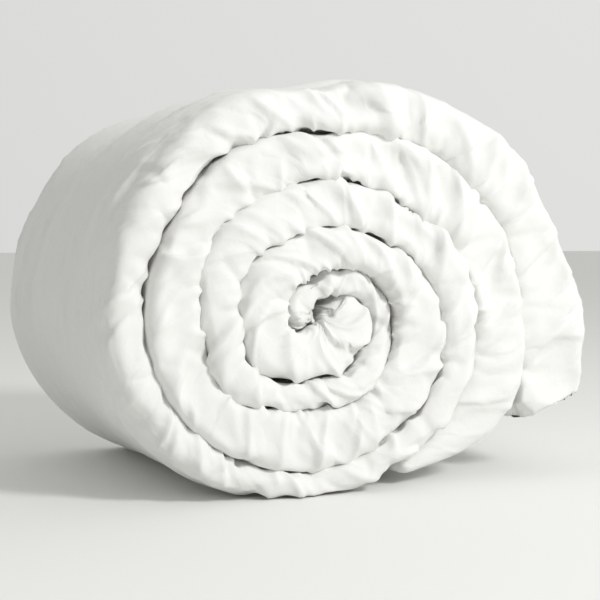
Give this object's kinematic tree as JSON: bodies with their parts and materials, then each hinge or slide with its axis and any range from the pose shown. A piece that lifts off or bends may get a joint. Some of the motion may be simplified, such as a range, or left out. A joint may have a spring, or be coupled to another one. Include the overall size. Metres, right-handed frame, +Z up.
{
  "type": "rolled duvet",
  "caption": "Plain white double duvet, folded lengthwise and rolled up, lying on its side with its free end hanging down one side of the roll.",
  "frame": {"origin": "on the surface that the roll lies on, under the middle of its box", "axes": "+Z up, +X towards the side where the free end hangs, Y along the roll's axis with the front folds at -Y"},
  "size_m": [0.6514, 0.5, 0.4975],
  "materials": {
    "cotton_shell": "fine plain-woven white cotton, washed and softly creased",
    "wadding": "lofty white fibre wadding",
    "lining": "plain-woven white cotton, inner side",
    "hem": "doubled and stitched white cotton edge"
  },
  "bodies": {
    "roll": {"outer_fold_cover": "cotton_shell", "outer_fold_filling": "wadding", "outer_fold_lining": "lining", "inner_fold_cover": "cotton_shell", "inner_fold_filling": "wadding", "inner_fold_lining": "lining", "back_fold_cover": "cotton_shell", "back_fold_filling": "wadding"},
    "tail": {"tail_cover": "cotton_shell", "tail_filling": "wadding", "tail_lining": "lining"},
    "tail_tip": {"tail_tip_cover": "cotton_shell", "tail_tip_filling": "wadding", "tail_tip_lining": "lining", "tail_hem": "hem"}
  },
  "joints": [
    {"name": "tail_lift", "type": "hinge", "parent": "roll", "child": "tail", "pos_m": [0.18201, 0, 0.44351], "axis": [0, -1, 0], "range_deg": [0, 40]},
    {"name": "tail_tip_bend", "type": "hinge", "parent": "tail", "child": "tail_tip", "pos_m": [0.30023, 0, 0.3015], "axis": [0, -1, 0], "range_deg": [0, 35]}
  ]
}
